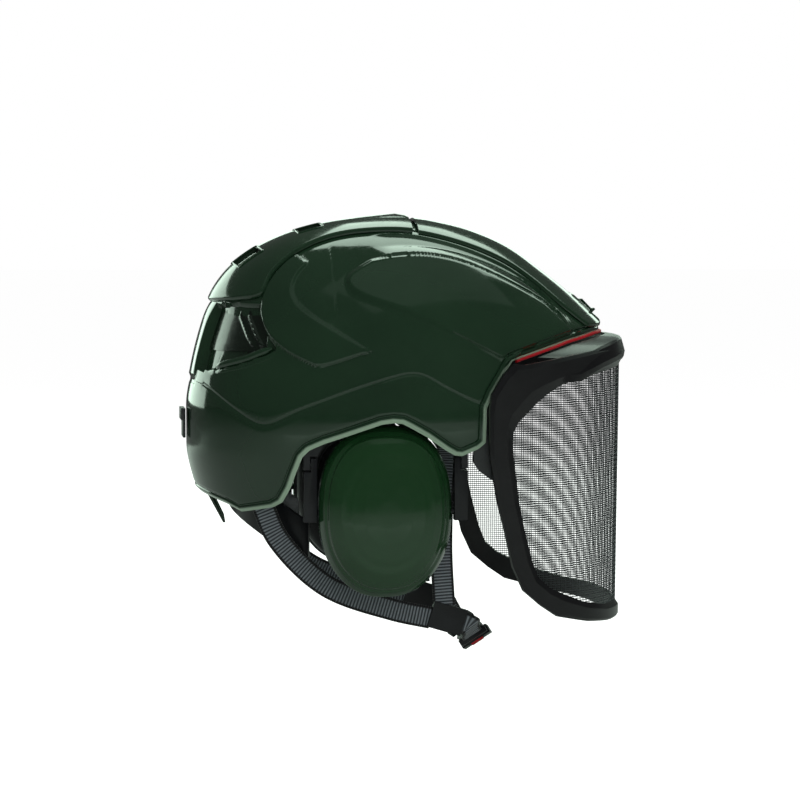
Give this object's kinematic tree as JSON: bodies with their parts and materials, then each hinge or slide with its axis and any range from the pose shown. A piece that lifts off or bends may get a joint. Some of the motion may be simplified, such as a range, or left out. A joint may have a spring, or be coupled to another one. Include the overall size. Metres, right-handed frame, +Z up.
{
  "type": "forestry helmet",
  "caption": "Forestry helmet with raised crest, curved mesh face visor on a lifting frame, swinging ear defenders, nape adjuster and buckled chin harness.",
  "frame": {"origin": "middle of the headband, level with its lowest edge, where the head carries the helmet", "axes": "+X to the front of the helmet, +Y to the wearer's left, +Z up"},
  "size_m": [0.3044, 0.224, 0.2999],
  "materials": {
    "shell_green": "high gloss dark green moulded plastic",
    "charcoal_plastic": "satin charcoal moulded plastic",
    "black_plastic": "fine grained black plastic",
    "red_seal": "matt red rubber",
    "wire_mesh": "dark fine woven mesh",
    "liner_foam": "moulded foam",
    "felt": "grey felt",
    "webbing": "ribbed grey webbing",
    "cushion_skin": "soft black foil over foam",
    "steel": "plain steel"
  },
  "bodies": {
    "helmet": {"outer_shell": "shell_green", "crest_front": "shell_green", "crest_rear": "shell_green", "recess_plate_left": "shell_green", "recess_plate_right": "shell_green", "brim_seal": "red_seal", "inner_shell": "charcoal_plastic", "impact_liner": "liner_foam", "headband": "black_plastic", "brow_pad": "felt", "cradle_strap_long": "webbing", "cradle_strap_cross": "webbing", "front_lamp_clip": "shell_green", "rear_lamp_hook": "charcoal_plastic", "ear_bracket_left": "black_plastic", "ear_bracket_right": "black_plastic", "swing_pin_rear_left": "steel", "swing_pin_rear_right": "steel", "swing_pin_front_left": "steel", "swing_pin_front_right": "steel", "visor_pivot_pin_left": "steel", "visor_pivot_pin_right": "steel", "front_strap_left": "webbing", "front_strap_right": "webbing", "rear_strap_left": "webbing", "rear_strap_right": "webbing", "strap_divider_left": "black_plastic", "strap_divider_right": "black_plastic", "chin_strap_left": "webbing", "chin_strap_right": "webbing", "buckle_female": "black_plastic", "buckle_male": "black_plastic", "strap_keeper": "black_plastic", "chin_pad": "cushion_skin"},
    "visor": {"visor_frame": "charcoal_plastic", "visor_mesh": "wire_mesh", "visor_arm_left": "charcoal_plastic", "visor_arm_right": "charcoal_plastic"},
    "arms_left": {"ear_arm_rear_left": "black_plastic", "ear_arm_front_left": "black_plastic"},
    "arms_right": {"ear_arm_rear_right": "black_plastic", "ear_arm_front_right": "black_plastic"},
    "cup_left": {"ear_cup_left": "shell_green", "ear_backplate_left": "black_plastic", "ear_foam_left": "liner_foam", "ear_cushion_left": "cushion_skin"},
    "cup_right": {"ear_cup_right": "shell_green", "ear_backplate_right": "black_plastic", "ear_foam_right": "liner_foam", "ear_cushion_right": "cushion_skin"},
    "nape": {"nape_cradle": "black_plastic", "nape_pad": "felt", "ratchet_housing": "charcoal_plastic"},
    "knob": {"ratchet_knob": "black_plastic"},
    "shutter": {"vent_shutter": "shell_green"},
    "button": {"buckle_button": "red_seal"}
  },
  "joints": [
    {"name": "visor_lift", "type": "hinge", "parent": "helmet", "child": "visor", "pos_m": [0.062, 0, 0.055], "axis": [0, -1, 0], "range_deg": [0, 65]},
    {"name": "ear_swing_left", "type": "hinge", "parent": "helmet", "child": "arms_left", "pos_m": [-0.008, 0.089, -0.008], "axis": [1, 0, 0], "range_deg": [0, 25]},
    {"name": "ear_swing_right", "type": "hinge", "parent": "helmet", "child": "arms_right", "pos_m": [-0.008, -0.089, -0.008], "axis": [-1, 0, 0], "range_deg": [0, 25]},
    {"name": "cup_tilt_left", "type": "hinge", "parent": "arms_left", "child": "cup_left", "pos_m": [-0.0085, 0.089, -0.04], "axis": [1, 0, 0], "range_deg": [-5, 5]},
    {"name": "cup_tilt_right", "type": "hinge", "parent": "arms_right", "child": "cup_right", "pos_m": [-0.0085, -0.089, -0.04], "axis": [-1, 0, 0], "range_deg": [-5, 5]},
    {"name": "nape_adjust", "type": "slide", "parent": "helmet", "child": "nape", "axis": [1, 0, 0], "range_m": [0, 0.01]},
    {"name": "knob_turn", "type": "hinge", "parent": "nape", "child": "knob", "pos_m": [-0.1137, 0, -0.001], "axis": [1, 0, 0], "range_deg": [0, 360]},
    {"name": "shutter_slide", "type": "slide", "parent": "helmet", "child": "shutter", "axis": [0, 0, 1], "range_m": [0, 0.007]},
    {"name": "button_press", "type": "slide", "parent": "helmet", "child": "button", "axis": [-0.4932, 0.3112, 0.8123], "range_m": [0, 0.0016], "stiffness_N_per_m": 400}
  ],
  "couplings": [
    {"joint": "knob_turn", "follows": "nape_adjust", "rad_per_m": 620}
  ]
}
